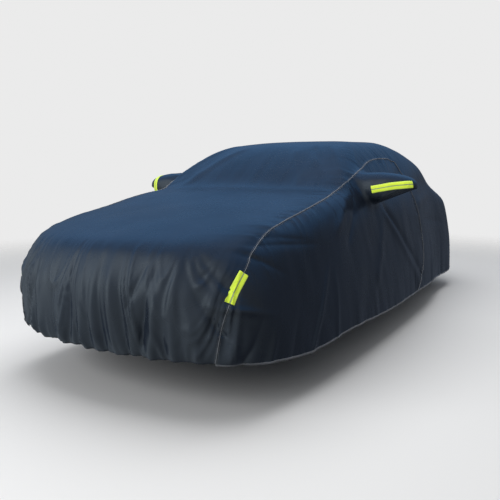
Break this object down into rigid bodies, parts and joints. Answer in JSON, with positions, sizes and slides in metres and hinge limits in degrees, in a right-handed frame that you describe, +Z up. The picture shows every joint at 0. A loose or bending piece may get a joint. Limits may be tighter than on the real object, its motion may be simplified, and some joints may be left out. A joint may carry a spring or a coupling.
{
  "type": "fitted car cover",
  "caption": "Hollow fitted cloth cover for a saloon car, open below, with gathered front skirt, arched side panels, mirror pockets and reflective strips.",
  "frame": {"origin": "under the middle of the roof, where the roof of the car that it hangs on would carry it", "axes": "+Y towards the tail, the nose points to -Y; +X to the car's left side; +Z up"},
  "size_m": [2.2976, 4.8064, 1.3163],
  "materials": {
    "navy_cloth": "satin coated polyester",
    "grey_tape": "woven tape",
    "neon_strip": "reflective tape"
  },
  "bodies": {
    "root": {"top_panel": "navy_cloth", "side_panel_left": "navy_cloth", "side_panel_right": "navy_cloth", "mirror_pocket_left": "navy_cloth", "mirror_pocket_right": "navy_cloth", "hem_binding": "grey_tape", "seam_piping_left_low": "grey_tape", "seam_piping_left_top": "grey_tape", "seam_piping_right_low": "grey_tape", "seam_piping_right_top": "grey_tape", "front_strip_left": "neon_strip", "front_strip_right": "neon_strip", "mirror_strip_left": "neon_strip", "mirror_strip_right": "neon_strip"}
  },
  "joints": []
}
